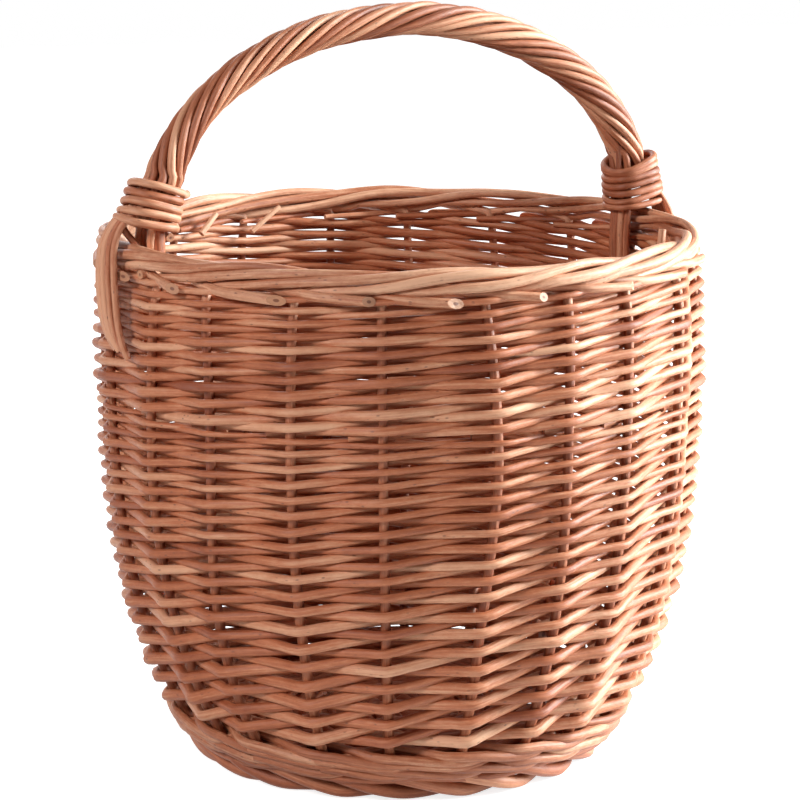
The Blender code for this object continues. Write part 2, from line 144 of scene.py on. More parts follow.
def willow(name, dark, middle, light, roughness=0.50):
    """Peeled willow: lengthwise grain, soft blotches, specks and cut ends with pith."""
    material = bpy.data.materials.new(name)
    material.use_nodes = True
    tree = material.node_tree
    link = tree.links.new
    shader = tree.nodes["Principled BSDF"]
    grain = node(tree, "ShaderNodeAttribute", attribute_name="grain")
    mark = node(tree, "ShaderNodeAttribute", attribute_name="mark")
    marks = node(tree, "ShaderNodeSeparateXYZ")
    link(mark.outputs["Vector"], marks.inputs[0])
    tone, cut_end, middle_of_cut = marks.outputs

    def stretched(scale):
        made = node(tree, "ShaderNodeVectorMath", operation="MULTIPLY")
        made.inputs[1].default_value = scale
        link(grain.outputs["Vector"], made.inputs[0])
        return made.outputs[0]

    def noise(scale, detail, rough):
        made = node(tree, "ShaderNodeTexNoise")
        made.inputs["Scale"].default_value = 1
        made.inputs["Detail"].default_value = detail
        made.inputs["Roughness"].default_value = rough
        link(stretched(scale), made.inputs["Vector"])
        return made.outputs["Fac"]

    def calculate(operation, *values, clamp=False):
        made = node(tree, "ShaderNodeMath", operation=operation, use_clamp=clamp)
        for socket, value in zip(made.inputs, values):
            plug(tree, value, socket)
        return made.outputs[0]

    def blend(kind, share, first, second):
        made = node(tree, "ShaderNodeMix", data_type="RGBA", blend_type=kind)
        for number, value in ((0, share), (6, first), (7, second)):
            plug(tree, value, made.inputs[number])
        return made.outputs[2]

    def swing(value, size):
        """A noise moved to swing about zero."""
        return calculate("MULTIPLY", calculate("SUBTRACT", value, 0.5), size)

    streak, blotch, patch, mottle = (noise(*look) for look in (STREAK, BLOTCH, PATCH, MOTTLE))
    shade = calculate("MULTIPLY_ADD", streak, STREAK_TONE, -STREAK_TONE / 2)
    shade = calculate("ADD", shade, tone)
    shade = calculate("ADD", shade, swing(blotch, BLOTCH_TONE))
    shade = calculate("ADD", shade, swing(mottle, MOTTLE_TONE))
    shade = calculate("ADD", shade, swing(patch, PATCH_TONE), clamp=True)
    ramp = node(tree, "ShaderNodeValToRGB")
    ramp.color_ramp.elements[0].color = dark
    ramp.color_ramp.elements[1].color = light
    ramp.color_ramp.elements.new(0.5).color = middle
    link(shade, ramp.inputs[0])

    cells = node(tree, "ShaderNodeTexVoronoi")
    cells.inputs["Scale"].default_value = SPOT_CELLS
    link(stretched(SPOT_SCALE), cells.inputs["Vector"])
    spots = map_range(tree, cells.outputs["Distance"], SPOT_SIZES)
    spots = calculate("MULTIPLY", spots, map_range(tree, noise(*SPOT_AREAS), SPOT_AREA_RANGE))
    colour = blend("MIX", calculate("MULTIPLY", spots, SPOT_STRENGTH), ramp.outputs[0], SPOT_COLOUR)

    pith = map_range(tree, middle_of_cut, PITH_RANGE)
    cut_colour = blend("MIX", pith, CUT_COLOUR, PITH_COLOUR)
    cut_colour = blend("MULTIPLY", CUT_GRAIN, cut_colour, ramp.outputs[0])
    link(blend("MIX", cut_end, colour, cut_colour), shader.inputs["Base Color"])

    grained = calculate("MULTIPLY", streak, STREAK_ROUGHNESS)
    rough = calculate("ADD", grained, roughness - STREAK_ROUGHNESS / 2, clamp=True)
    link(rough, shader.inputs["Roughness"])
    shader.inputs["Specular IOR Level"].default_value = SHINE
    height = calculate("ADD", streak, calculate("MULTIPLY", blotch, BLOTCH_HEIGHT))
    height = calculate("ADD", height, calculate("MULTIPLY", mottle, MOTTLE_HEIGHT))
    relief = node(tree, "ShaderNodeBump")
    relief.inputs["Strength"].default_value = RELIEF
    relief.inputs["Distance"].default_value = RELIEF_DEPTH
    link(height, relief.inputs["Height"])
    link(relief.outputs[0], shader.inputs["Normal"])
    return material


WEAVER = willow(
    "willow_weavers", (0.25, 0.053, 0.017, 1), (0.48, 0.149, 0.064, 1), (0.72, 0.355, 0.208, 1)
)
STAKE = willow(
    "willow_stakes", (0.21, 0.046, 0.016, 1), (0.43, 0.140, 0.064, 1), (0.76, 0.395, 0.240, 1)
)
BASE = willow(
    "willow_base", (0.24, 0.052, 0.019, 1), (0.43, 0.130, 0.057, 1), (0.62, 0.255, 0.135, 1)
)
HANDLE = willow(
    "willow_handle", (0.20, 0.046, 0.017, 1), (0.42, 0.130, 0.058, 1), (0.66, 0.310, 0.178, 1), 0.49
)

# Rods: waves of thickness and of tone, in radians a metre along the rod
LUMP_WAVES = (95, 37)
LONG_TONE_WAVES = (9, 16)
SHORT_TONE_WAVES = (30, 47)
SHORT_TONE_SHARE = 0.7
GRAIN_OFFSET = 9
TONE_LIMITS = (0.29, 0.92)
# A direction that no rod starts along, to lay out the first ring of a tube
RING_START = (0.31, 0.17, 0.93)


def tone_of(middle=0.49, spread=0.18):
    return limit(RNG.gauss(middle, spread), *TONE_LIMITS)


def through(points, steps):
    """A smooth line through control points; every column is interpolated."""
    p = np.asarray(points, float)
    p = np.vstack([2 * p[0] - p[1], p, 2 * p[-1] - p[-2]])
    t = (np.arange(steps) / steps)[:, None]
    parts = []
    for a, b, c, d in zip(p, p[1:], p[2:], p[3:]):
        bend = (2 * a - 5 * b + 4 * c - d) * t ** 2 + (3 * b - a - 3 * c + d) * t ** 3
        parts.append(0.5 * (2 * b + (c - a) * t + bend))
    parts.append(p[-2][None])
    return np.vstack(parts)


class Piece:
    """One visible piece: the tubes of one or more rods in a single mesh."""

    def __init__(self, name):
        self.name = name
        self.points, self.grain, self.mark = [], [], []
        self.faces, self.flat = [], []
        self.count = 0

    def put(self, points, grain, mark):
        """Add points and return the number of the first."""
        first = self.count
        self.points.append(points)
        self.grain.append(grain)
        self.mark.append(mark)
        self.count += len(points)
        return first

    def rod(self, line, tone=0.5, sides=10, face=(0, 0, 1), slant=0.0, lumps=0.035, drift=0.11):
        """A tube along a line; its far end may slant so that the cut shows towards face."""
        line = np.asarray(line, float)
        p, r = line[:, :3], line[:, 3]
        count = len(p)
        steps = np.linalg.norm(np.diff(p, axis=0), axis=1)
        along = np.concatenate([[0], np.cumsum(steps)])
        phase = any_phase()
        lump = lumps * np.sin(along * LUMP_WAVES[0] + phase)
        r = r * (1 + lump * np.sin(along * LUMP_WAVES[1] + 2 * phase))
        t = np.gradient(p, axis=0)
        t /= np.linalg.norm(t, axis=1)[:, None]
        side = np.cross(t[0], RING_START)
        across = np.empty((count, 3))
        for i in range(count):
            side = side - t[i] * (side @ t[i])
            side = side / math.sqrt(side @ side)
            across[i] = side
        other = np.cross(t, across)
        turn = np.arange(sides) * 2 * math.pi / sides
        c, s = np.cos(turn), np.sin(turn)
        ring = across[:, None] * c[None, :, None] + other[:, None] * s[None, :, None]
        ring *= r[:, None, None]
        if slant:
            ring[-1] -= t[-1] * (slant * (ring[-1] @ np.asarray(face, float)))[:, None]
        shell = p[:, None] + ring
        offset = np.array([RNG.uniform(0, GRAIN_OFFSET) for _ in range(3)])
        grain = np.empty((count, sides, 3))
        grain[..., 0] = c[None] * r[:, None]
        grain[..., 1] = s[None] * r[:, None]
        grain[..., 2] = along[:, None]
        tones = tone + drift * np.sin(along * RNG.uniform(*LONG_TONE_WAVES) + phase)
        short = np.sin(along * RNG.uniform(*SHORT_TONE_WAVES))
        tones = tones + SHORT_TONE_SHARE * drift * short
        mark = np.zeros((count * sides, 3))
        mark[:, 0] = np.repeat(tones, sides)
        first = self.put(shell.reshape(-1, 3), grain.reshape(-1, 3) + offset, mark)
        index = np.arange(count * sides).reshape(count, sides) + first
        nxt = np.roll(index, -1, axis=1)
        quads = np.stack([index[:-1], nxt[:-1], nxt[1:], index[1:]], axis=-1).reshape(-1, 4)
        self.faces.extend(quads.tolist())
        self.flat.extend([False] * len(quads))
        for end in (0, count - 1):
            rim = shell[end]
            cap = np.vstack([rim, rim.mean(axis=0)[None]])
            marks = np.tile((tones[end], 1.0, 0.0), (sides + 1, 1))
            marks[-1, 2] = 1
            flow = np.vstack([grain[end], [[0, 0, along[end]]]]) + offset
            at = self.put(cap, flow, marks)
            for k in range(sides):
                a, b = at + k, at + (k + 1) % sides
                self.faces.append([b, a, at + sides] if end == 0 else [a, b, at + sides])
                self.flat.append(True)

    def make(self, material, slot, *nodes):
        mesh = bpy.data.meshes.new(self.name)
        mesh.from_pydata(np.vstack(self.points).tolist(), [], self.faces)
        mesh.polygons.foreach_set("use_smooth", [not flat for flat in self.flat])
        for key, rows in (("grain", self.grain), ("mark", self.mark)):
            layer = mesh.attributes.new(key, "FLOAT_VECTOR", "POINT")
            layer.data.foreach_set("vector", np.vstack(rows).astype(np.float32).ravel())
        mesh.materials.append(material)
        mesh.update()
        made = bpy.data.objects.new(self.name, mesh)
        bpy.context.scene.collection.objects.link(made)
        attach(made, "root")
        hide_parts(*nodes)


# Wall: the stakes' line bulges from the base to the belly and draws in to the rim
WALL_Z = 0.0195
BELLY_Z = 0.262
RIM_Z = 0.300
WALL_END_Z = 0.312
WALL_R = 0.1272
BELLY_R = 0.1752
RIM_R = 0.1712
RIM_LEAN = 0.0040
SLOPE_STEP = 0.001
WALL_SAMPLES = 400


def wall_radius(z):
    if z < BELLY_Z:
        below = (BELLY_Z - z) / (BELLY_Z - WALL_Z)
        return BELLY_R - (BELLY_R - WALL_R) * below ** 3
    above = (z - BELLY_Z) / (RIM_Z - BELLY_Z)
    return BELLY_R - (BELLY_R - RIM_R) * above ** 2


WALL_ZS = np.linspace(WALL_Z, WALL_END_Z, WALL_SAMPLES)
WALL_RS = np.array([wall_radius(z) for z in WALL_ZS])
WALL_RUN = np.concatenate([[0], np.cumsum(np.hypot(np.diff(WALL_ZS), np.diff(WALL_RS)))])


def wall_at(distance, out):
    """Radius and height a distance up the wall and outward from the stake line."""
    z = float(np.interp(distance, WALL_RUN, WALL_ZS))
    r = float(np.interp(distance, WALL_RUN, WALL_RS))
    dr = wall_radius(z + SLOPE_STEP) - wall_radius(z - SLOPE_STEP)
    dz = 2 * SLOPE_STEP
    size = math.hypot(dr, dz)
    return r + out * dz / size, z - out * dr / size


def up_wall(z):
    return float(np.interp(z, WALL_ZS, WALL_RUN))


# Stakes: the angles of those seen in the photograph, in degrees, and how they lean
STAKES = 20
SEEN_STAKES = (189.0, 203.8, 221.8, 238.3, 257.3, 273.2, 287.7, 307.4)
HIDDEN_STAKES = STAKES - len(SEEN_STAKES)
HIDDEN_SPACE = (360 + SEEN_STAKES[0] - SEEN_STAKES[-1]) / (HIDDEN_STAKES + 1)
HIDDEN_SHIFT = (-1.2, 1.2)
STAKE_ANGLES = [*SEEN_STAKES] + [
    SEEN_STAKES[-1] + HIDDEN_SPACE * (k + 1) + RNG.uniform(*HIDDEN_SHIFT)
    for k in range(HIDDEN_STAKES)
]
# Size in degrees, pace in radians a metre and phase of each stake's waves
WOBBLE_SIZES = (-1.1, 1.1)
WOBBLE_PACES = (12, 24)
WOBBLE = [
    (RNG.uniform(*WOBBLE_SIZES), RNG.uniform(*WOBBLE_PACES), any_phase()) for _ in range(STAKES)
]
# Stakes that bend: height and lean in degrees
BENT = {
    3: ((0.0, 0.6), (0.3, -0.3)),
    4: ((0.02, -1.0), (0.107, -0.4), (0.2, 1.9), (0.243, 1.2), (0.3, -0.7)),
}
STAKE_FOOT_ROD = 0.0031
STAKE_TOP_ROD = 0.0026
# The frame counts its stakes from another one than SEEN_STAKES does
FRAME_SHIFT = 10


def stake_angle(number, z):
    """Angle of a stake at a height; stake numbers go on counting round the basket."""
    rounds, index = divmod(number, STAKES)
    if index in BENT:
        lean = curve(z, BENT[index])
    else:
        size, pace, phase = WOBBLE[index]
        lean = size * math.sin(pace * z + phase)
    return math.radians(STAKE_ANGLES[index] + 360 * rounds + lean)


def angle_after(number, share, z):
    """Angle a share of the space between a stake and the next at a height."""
    return lerp(stake_angle(number, z), stake_angle(number + 1, z), share)


def stake_rod(z):
    return lerp(STAKE_FOOT_ROD, STAKE_TOP_ROD, limit(z / RIM_Z, 0, 1))


def rim_lift(stake):
    """The rim stands a little higher on the far side of the photograph."""
    return -RIM_LEAN * math.cos(stake_angle(stake, RIM_Z) - CAMERA_ANGLE)


def cad_number(index):
    """The frame's stake or weaver that stands nearest to a stake of the photograph."""
    return (index + FRAME_SHIFT) % STAKES + 1


# Weaving: rows in two layers, their pitches by row, and how thick the rods are for
# their pitch, by row, on the near and far sides of the photograph
LOWER_ROWS = 38
UPPER_ROWS = 20
FIRST_ROW = 0.0171
LAYER_Z = 0.2190
TOP_ROW_Z = 0.2992
LOWER_PITCHES = (
    (0, 0.0065),
    (4.3, 0.0061),
    (11, 0.0053),
    (18, 0.0048),
    (26, 0.0043),
    (31.5, 0.0039),
    (37, 0.0032),
)
UPPER_PITCHES = ((0, 0.0050), (5, 0.0047), (9, 0.0042), (14, 0.0037), (19, 0.0034))
NEAR_SHARES = ((0, 0.515), (20, 0.525), (37, 0.54), (57, 0.55))
FAR_SHARES = ((0, 0.70), (10, 0.68), (22, 0.62), (37, 0.63), (45, 0.68), (57, 0.69))
# First row, number of rows and pitches
LAYERS = {"lower": (0, LOWER_ROWS, LOWER_PITCHES), "upper": (LOWER_ROWS, UPPER_ROWS, UPPER_PITCHES)}
ROD_SPREAD = (0.87, 1.13)
ROD_SIZE = {layer: [RNG.uniform(*ROD_SPREAD) for _ in range(STAKES)] for layer in LAYERS}
ROW_SPREAD = (0.94, 1.06)
ROW_SHIFT = (-0.0004, 0.0004)
# Share of the two radii at which a rod passes a stake, and by how much that distance varies
REACH = 0.87
REACH_SHIFT = (-0.0003, 0.0004)
# Between two stakes: how far a rod bends up or down, and the shares at which it is laid out
SAG = (-0.0005, 0.0005)
SPACE_SHARES = (0.23, 0.5, 0.77)
# A rod's start before its first stake, and its tip: share of a space, outward, thickness
BUTT_SHARES = (-0.3, -0.12)
ROD_TIP = ((0.2, 0.0020, 0.92), (0.55, -0.0030, 0.84), (1.0, -0.0066, 0.76), (1.12, -0.0078, 0.72))
TIP_RISE = 0.0010


def row_radius(stake, row):
    """Radius of the rod that passes a stake in a row."""
    near = 0.5 + 0.5 * math.cos(math.radians(STAKE_ANGLES[stake % STAKES]) - CAMERA_ANGLE)
    thickness = lerp(curve(row, FAR_SHARES), curve(row, NEAR_SHARES), near)
    layer = "lower" if row < LOWER_ROWS else "upper"
    first, _, pitches = LAYERS[layer]
    rod = (stake - row + first) % STAKES
    return curve(row - first, pitches) * thickness * ROD_SIZE[layer][rod]


def stack_rows():
    """Distance up the wall of every row at every stake: rods lie on the rods below them."""
    columns = []
    for stake in range(STAKES):
        places = []
        middle = up_wall(LAYER_Z)
        top = up_wall(TOP_ROW_Z + rim_lift(stake))
        for layer, low, high in (("lower", FIRST_ROW, middle), ("upper", middle, top)):
            first, rows, _ = LAYERS[layer]
            heights, at, before = [], 0.0, 0.0
            for row in range(first, first + rows):
                radius = row_radius(stake, row)
                at += (before + radius) * RNG.uniform(*ROW_SPREAD)
                heights.append(at)
                before = radius
            scale = (high - low) / (at + before)
            places += [low + height * scale for height in heights]
        columns.append(places)
    return columns


ROWS = stack_rows()


def row_corner(layer, rod, row):
    """Where a rod passes the stake of a row: even rows inside the stake, odd ones outside."""
    stake = rod + row
    row_number = LAYERS[layer][0] + row
    radius = row_radius(stake, row_number)
    distance = ROWS[stake % STAKES][row_number] + RNG.uniform(*ROW_SHIFT)
    z = wall_at(distance, 0)[1]
    reach = (stake_rod(z) + radius) * REACH + RNG.uniform(*REACH_SHIFT)
    r, z = wall_at(distance, reach if row % 2 else -reach)
    return np.array((*polar(r, stake_angle(stake, z), z), radius))


def weaver_line(layer, rod):
    rows = LAYERS[layer][1]
    corners = [row_corner(layer, rod, row) for row in range(rows)]
    line = [lerp(corners[0], corners[1], share) for share in BUTT_SHARES]
    for here, following in zip(corners, corners[1:]):
        line.append(here)
        bend = RNG.uniform(*SAG)
        for t in SPACE_SHARES:
            line.append(lerp(here, following, t) + (0, 0, bend * math.sin(math.pi * t), 0))
    line.append(corners[-1])
    _, _, height, radius = corners[-1]
    for t, out, size in ROD_TIP:
        r, z = wall_at(up_wall(height) + TIP_RISE * t, out)
        line.append(np.array((*polar(r, angle_after(rod + rows - 1, t, z), z), radius * size)))
    return through(line, 2)


def add_weavers():
    for rod in range(STAKES):
        piece = Piece(f"weaver_{rod + 1:02d}_look")
        for layer in LAYERS:
            piece.rod(weaver_line(layer, rod), tone_of())
        piece.make(WEAVER, "weaver_willow", f"weaver_{cad_number(rod):02d}")


# Border: each stake's top winds round a ring of touching rods and is cut off below it.
# Places on it are half stake spaces on from the stake
BORDER_Z = 0.3084
BORDER_RING = 0.0048
BORDER_ROD = 0.0029
BORDER_TURN = 36
BORDER_SPREAD = (0.80, 1.13)
BORDER_SWAY = (0.0005, 0.0012)
SWAY_OUT_PACE = 1.3
SWAY_UP_PACE = 1.7
BORDER_TAPER = (1.04, 0.9)
BORDER_START = 1.5
BORDER_END = 9.25
BORDER_STEP = 0.25
# Before and after the winding: half spaces, outward, up and thickness.  The stake's
# bend has the stake's own thickness, and the cut end's place is drawn from CUT_PLACES
STAKE_BEND = (0.10, 0.0002, -0.0074)
BORDER_ENTRY = ((0.50, 0.0014, -0.0056, 0.96), (1.00, 0.0028, -0.0044, 1.0))
TAIL_START = (9.7, -0.0008, -0.0064, 0.92)
TAIL = ((10.2, 0.0026, -0.0076, 0.92), (10.7, 0.0058, -0.0086, 0.93))
TAIL_CUT = (0.0084, -0.0098, 0.94)
TAIL_SHIFT = (-0.0006, 0.0010)
CUT_PLACES = (11.0, 11.9)
CUT_SLANTS = (1.1, 1.9)
# The cut faces outward at a stake further on, turned by an angle, and a little up
CUT_STAKES_ON = 5
CUT_TURN = 0.5
CUT_UP = 0.15

# Stakes from their tips in the base: distance from the axis, height over its middle, radius
BASE_Z = 0.0160
STAKE_TIP = ((0.098, 0.0, 0.0027), (0.112, 0.0, 0.0030), (0.1215, 0.0008, 0.0031))
UPRIGHT_FROM_Z = WALL_Z + 0.003
UPRIGHT_TO_Z = 0.2985
UPRIGHT_POINTS = 22
LIFT_FROM_Z = 0.22
LIFT_HEIGHT = 0.07
# The upright part, a share of the rod's points, is darker than the border: painted shade on the
# upright part between the rows, and painted light on the border on top
UPRIGHT_SHARE = 0.37
SHADED_UPRIGHT_TONES = (0.28, 0.10)
LIT_BORDER_PALER = 0.38
# Short ends that stick out at the rim, by stake: start and end as for from_camera, radius
LOOSE_ENDS = {
    9: ((-0.0935, -0.1290, 0.2955), (-0.0761, -0.1385, 0.3105), 0.0017),
    11: ((-0.1235, -0.0960, 0.2980), (-0.1146, -0.1060, 0.3095), 0.0019),
    17: ((0.1500, 0.0540, 0.3040), (0.1512, 0.0530, 0.3190), 0.0025),
    1: ((-0.1330, 0.0900, 0.3000), (-0.1442, 0.1010, 0.2994), 0.0027),
}
LOOSE_END_TONE = 0.85
LOOSE_END_TAPER = 0.9


def rim_point(stake, halves, out, up):
    """A place at the rim, a number of half stake spaces on from a stake."""
    whole = math.floor(halves / 2)
    t = halves / 2 - whole
    angle = angle_after(stake + whole, t, RIM_Z)
    lift = lerp(rim_lift(stake + whole), rim_lift(stake + whole + 1), t)
    return polar(RIM_R + out, angle, BORDER_Z + up + lift)


def ring_point(stake, halves, out, up):
    """A place on the border's ring, which a rod winds round as it goes on."""
    turn = math.radians(-90 + BORDER_TURN * halves)
    ring_out, ring_up = BORDER_RING * math.cos(turn), BORDER_RING * math.sin(turn)
    return rim_point(stake, halves, ring_out + out, ring_up + up)


def border_line(index):
    """The top of a stake: round the border, down behind it and out to its cut end."""
    size = BORDER_ROD * RNG.uniform(*BORDER_SPREAD)
    out_phase, up_phase, sway = any_phase(), any_phase(), RNG.uniform(*BORDER_SWAY)
    line = [(*rim_point(index, *STAKE_BEND), stake_rod(RIM_Z))]
    for halves, out, up, share in BORDER_ENTRY:
        line.append((*rim_point(index, halves, out, up), size * share))
    for halves in np.arange(BORDER_START, BORDER_END + BORDER_STEP / 2, BORDER_STEP).tolist():
        out = sway * math.sin(halves * SWAY_OUT_PACE + out_phase)
        up = sway * math.sin(halves * SWAY_UP_PACE + up_phase)
        thickness = size * lerp(*BORDER_TAPER, halves / BORDER_END)
        line.append((*ring_point(index, halves, out, up), thickness))
    cut = RNG.uniform(*CUT_PLACES)
    shift = RNG.uniform(*TAIL_SHIFT)
    halves, out, up, share = TAIL_START
    line.append((*rim_point(index, halves, out, up), size * share))
    for halves, out, up, share in (*TAIL, (cut, *TAIL_CUT)):
        line.append((*rim_point(index, halves, out, up + shift), size * share))
    return line


def add_stakes():
    for index in range(STAKES):
        line = []
        for radius, up, size in STAKE_TIP:
            line.append((*polar(radius, stake_angle(index, 0), BASE_Z + up), size))
        for z in np.linspace(UPRIGHT_FROM_Z, UPRIGHT_TO_Z, UPRIGHT_POINTS):
            lifted = z + rim_lift(index) * limit((z - LIFT_FROM_Z) / LIFT_HEIGHT, 0, 1)
            line.append((*polar(wall_radius(z), stake_angle(index, z), lifted), stake_rod(z)))
        line = through(line + border_line(index), 2)
        upright = len(line) * UPRIGHT_SHARE
        # Painted shade on the upright part and painted light on the border, carried in the rod's
        # tone
        tone = tone_of(*SHADED_UPRIGHT_TONES) + LIT_BORDER_PALER * (np.arange(len(line)) > upright)
        angle = stake_angle(index + CUT_STAKES_ON, RIM_Z) + CUT_TURN
        face = polar(1, angle, CUT_UP)
        piece = Piece(f"stake_{index + 1:02d}_look")
        piece.rod(line, tone, 12, face, slant=RNG.uniform(*CUT_SLANTS))
        if index in LOOSE_ENDS:
            start, end, radius = LOOSE_ENDS[index]
            thinner = radius * LOOSE_END_TAPER
            line = [(*from_camera(*start), radius), (*from_camera(*end), thinner)]
            piece.rod(through(line, 4), LOOSE_END_TONE)
        piece.make(STAKE, "stake_willow", f"stake_{cad_number(index):02d}")


# Upsett: three rods in front of two stakes and behind one, twice round and a bit more.
# Levels by the stakes passed; at each of three stakes, side of the stake and climb
UPSETT_RODS = 3
UPSETT_SPACES = 46
UPSETT_SPACE_STEPS = 4
UPSETT_Z = 0.02
UPSETT_START = 0.0034
UPSETT_RISE = 0.0088
UPSETT_ROD = 0.0028
UPSETT_REACH = 0.85
UPSETT_LEVELS = ((0, 0), (17, 0), (24, 1), (46, 1.08))
UPSETT_SIDES = (1, 1, -1)
UPSETT_CLIMBS = (0.0025, -0.0021, 0.0002)
UPSETT_TAPER = (1.06, 0.95)
EVEN_TONES = (0.4, 0.6)


def upsett_place(rod, stake):
    """Distance up the wall and outward of an upsett rod at a stake."""
    passed = stake - rod
    level = UPSETT_START + UPSETT_RISE * curve(passed, UPSETT_LEVELS)
    reach = stake_rod(UPSETT_Z) + UPSETT_ROD * UPSETT_REACH
    turn = passed % 3
    return np.array((level + UPSETT_CLIMBS[turn], reach * UPSETT_SIDES[turn]))


def add_upsett():
    for rod in range(UPSETT_RODS):
        line = []
        for step in range(UPSETT_SPACES * UPSETT_SPACE_STEPS):
            position = step / UPSETT_SPACE_STEPS
            whole = math.floor(position)
            t = position - whole
            stake = rod + whole
            share = 0.5 - 0.5 * math.cos(math.pi * t)
            place = lerp(upsett_place(rod, stake), upsett_place(rod, stake + 1), share)
            r, z = wall_at(*place)
            size = UPSETT_ROD * lerp(*UPSETT_TAPER, position / UPSETT_SPACES)
            line.append((*polar(r, angle_after(stake, t, z), z), size))
        piece = Piece(f"upsett_rod_{rod + 1:02d}_look")
        piece.rod(through(line, 2), RNG.uniform(*EVEN_TONES))
        piece.make(STAKE, "upsett_willow", f"upsett_rod_{rod + 1:02d}")


# Foot: rods laid round the edge of the base like a rope: stake spaces on, radius, height
FOOT_SHAPE = (
    (-0.60, 0.1170, 0.0150),
    (-0.25, 0.1222, 0.0170),
    (0.05, 0.1262, 0.0162),
    (0.40, 0.1262, 0.0128),
    (0.80, 0.1236, 0.0082),
    (1.20, 0.1200, 0.0046),
    (1.60, 0.1150, 0.0040),
    (2.00, 0.1096, 0.0058),
    (2.40, 0.1050, 0.0088),
)
FOOT_RODS = (0.0036, 0.0043)
FOOT_SHIFT = (-0.0012, 0.0006)
FOOT_SWAY = (-0.0010, 0.0006)
FOOT_CLEARANCE = 0.0006
FOOT_TONES = (0.42, 0.2)
FOOT_LUMPS = 0.05


def add_foot():
    """One rod from every stake, half of them in each piece."""
    halves = [Piece("foot_rod_lower_look"), Piece("foot_rod_upper_look")]
    for index in range(STAKES):
        line = []
        size = RNG.uniform(*FOOT_RODS)
        shift = RNG.uniform(*FOOT_SHIFT)
        for spaces, radius, z in FOOT_SHAPE:
            whole = math.floor(spaces)
            angle = angle_after(index + whole, spaces - whole, 0)
            height = max(z + shift, size + FOOT_CLEARANCE)
            line.append((*polar(radius + RNG.uniform(*FOOT_SWAY), angle, height), size))
        halves[index % 2].rod(through(line, 5), tone_of(*FOOT_TONES), 12, lumps=FOOT_LUMPS)
    for piece, cad_node in zip(halves, ("foot_rod_lower", "foot_rod_upper")):
        piece.make(BASE, "foot_willow", cad_node)


# Base: three sticks crossed by two and opened out like spokes, woven round by two rods
SPOKES = 10
SPOKE_STEP = math.radians(36)
BASE_TURN = math.radians(12.6)
STICK_ROD = 0.0030
STICK_GAP = 0.0062
STICK_LIFT = 0.0016
CROSS_R = 0.016
# Way of the stick, its offset in gaps at the cross and its spread in spokes
STICKS = ((0, -1, -1), (0, 0, 0), (0, 1, 1), (math.pi / 2, -0.5, -0.5), (math.pi / 2, 0.5, 0.5))
STICK_RADII = (0.119, 0.070, 0.030)
STICK_CROSS = 0.011
BASE_ROD = 0.0026
BASE_PITCH = 0.0088
BASE_START = 0.0112
BASE_EDGE = 0.1280
BASE_EDGE_STEP = 0.0022
# By radius: how far the rods swing over and under the spokes, and their lift at the edge
BASE_SWING = ((0.117, 0.0043), (0.124, 0.0026))
BASE_LIFT = ((0.1275, 0), (0.1302, 0.0016))


def stick_line(way, offset, spread):
    spread = spread * SPOKE_STEP
    spoke = [(r * math.cos(spread), r * math.sin(spread)) for r in STICK_RADII]
    spoke.append((STICK_CROSS, offset * STICK_GAP))
    points = [(-x, y) for x, y in spoke] + spoke[::-1]
    lift = STICK_LIFT if way else -STICK_LIFT
    turn = way + BASE_TURN
    line = []
    for x, y in points:
        near = math.exp(-((math.hypot(x, y) / CROSS_R) ** 2))
        turned_x = x * math.cos(turn) - y * math.sin(turn)
        turned_y = x * math.sin(turn) + y * math.cos(turn)
        line.append((turned_x, turned_y, BASE_Z + lift * near, STICK_ROD))
    return line


def base_weaver_line(half):
    """One of two rods that spiral outward, over one spoke and under the next."""
    line = []
    spokes = int((BASE_EDGE - BASE_START) / BASE_PITCH * SPOKES) + SPOKES
    for step in range(spokes * 3):
        position = step / 3
        spiral = BASE_START + BASE_PITCH * (position / SPOKES + half / 2)
        out = min(spiral, BASE_EDGE + BASE_EDGE_STEP * half)
        swing = math.cos(math.pi * (position + half)) * curve(out, BASE_SWING)
        angle = BASE_TURN + position * SPOKE_STEP
        line.append((*polar(out, angle, BASE_Z + curve(out, BASE_LIFT) + swing), BASE_ROD))
    return line


def add_base():
    sticks = Piece("base_sticks_look")
    for stick in STICKS:
        sticks.rod(through(stick_line(*stick), 5), RNG.uniform(*EVEN_TONES))
    sticks.make(BASE, "base_stick_willow", "base_sticks")
    weaver = Piece("base_weaver_look")
    for half in range(2):
        weaver.rod(through(base_weaver_line(half), 3), RNG.uniform(*EVEN_TONES), 8)
    weaver.make(BASE, "base_weaver_willow", "base_weaver")


# Handle: a bow inside, and strands twisted round it above TWIST_Z
SPAN = 0.160
ARCH_Z = 0.325
APEX_Z = 0.4360
TWIST_Z = 0.3425
HANDLE_SHIFT = 0.0042
BOW_ROD = 0.0049
BOW_POINTS = 30
LEG_ROD = 0.0047
LEG_ZS = (0.236, 0.27, 0.30, 0.322)
LEFT_LEG_X = -0.156
RIGHT_LEG_X = 0.157
STRANDS = 10
STRAND_STEP = 36
STRAND_TURN = 8
STRAND_ROD = 0.00222
STRAND_SPREAD = (0.90, 1.10)
STRAND_RING = 0.0079
STRAND_PITCH = 0.150
STRAND_STEPS = 60
STRAND_TONES = (0.5, 0.16)
# Slow waves of a strand's turn and ring: paces, their sizes, and a faster pace for the ring
WANDER_PACES = (7, 13)
TURN_WANDER = 0.10
RING_WANDER = 0.06
RING_PACE = 1.3
# The ring swells towards the feet, by share of the handle, and the strands with it in part
STRAND_SWELL = ((0, 1.16), (0.06, 1.05), (0.12, 0.95), (0.5, 1.0), (1, 1.13))
ROD_SWELL = 0.7
# The outer strands of the left foot are paler
PALE_X = -0.1550
PALE_Z = 0.34
PALER = 0.28
